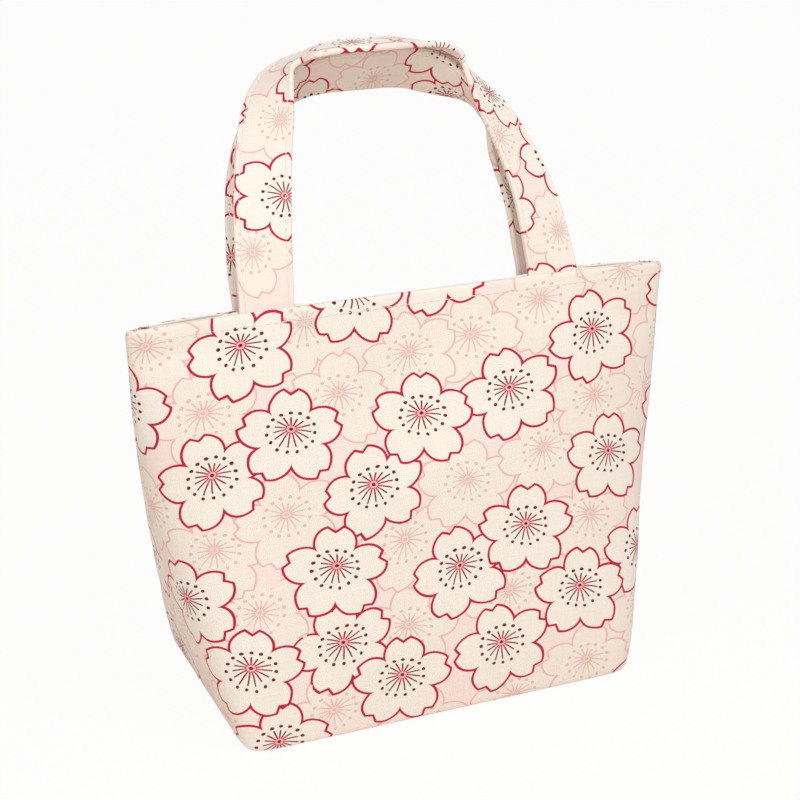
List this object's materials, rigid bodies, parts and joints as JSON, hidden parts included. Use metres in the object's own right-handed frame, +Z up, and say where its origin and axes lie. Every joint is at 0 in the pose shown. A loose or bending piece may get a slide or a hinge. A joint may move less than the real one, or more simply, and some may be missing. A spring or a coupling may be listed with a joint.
{
  "type": "bento bag",
  "caption": "Small open-topped lunch tote of blossom-printed cotton canvas with a boxed base, a lined inside and soft carrying straps that fold down to either side.",
  "frame": {"origin": "middle of the base where the bag stands", "axes": "+Z up, +X along the mouth, front of the bag towards -Y"},
  "size_m": [0.271, 0.121, 0.3018],
  "materials": {
    "canvas": "printed cotton canvas, matte",
    "lining": "plain cotton, matte"
  },
  "bodies": {
    "bag": {"outer_front_panel": "canvas", "outer_back_panel": "canvas", "outer_base_panel": "canvas", "lining_front_panel": "lining", "lining_back_panel": "lining", "lining_base_panel": "lining", "facing_front": "canvas", "facing_back": "canvas", "front_strap_end_left": "canvas", "front_strap_end_right": "canvas", "back_strap_end_left": "canvas", "back_strap_end_right": "canvas"},
    "front_carrying_strap": {"front_strap": "canvas"},
    "back_carrying_strap": {"back_strap": "canvas"}
  },
  "joints": [
    {"name": "front_strap_swing", "type": "hinge", "parent": "bag", "child": "front_carrying_strap", "pos_m": [0, -0.0087, 0.198], "axis": [1, 0, 0], "range_deg": [0, 145]},
    {"name": "back_strap_swing", "type": "hinge", "parent": "bag", "child": "back_carrying_strap", "pos_m": [0, 0.0056, 0.1957], "axis": [1, 0, 0], "range_deg": [-100, 0]}
  ]
}
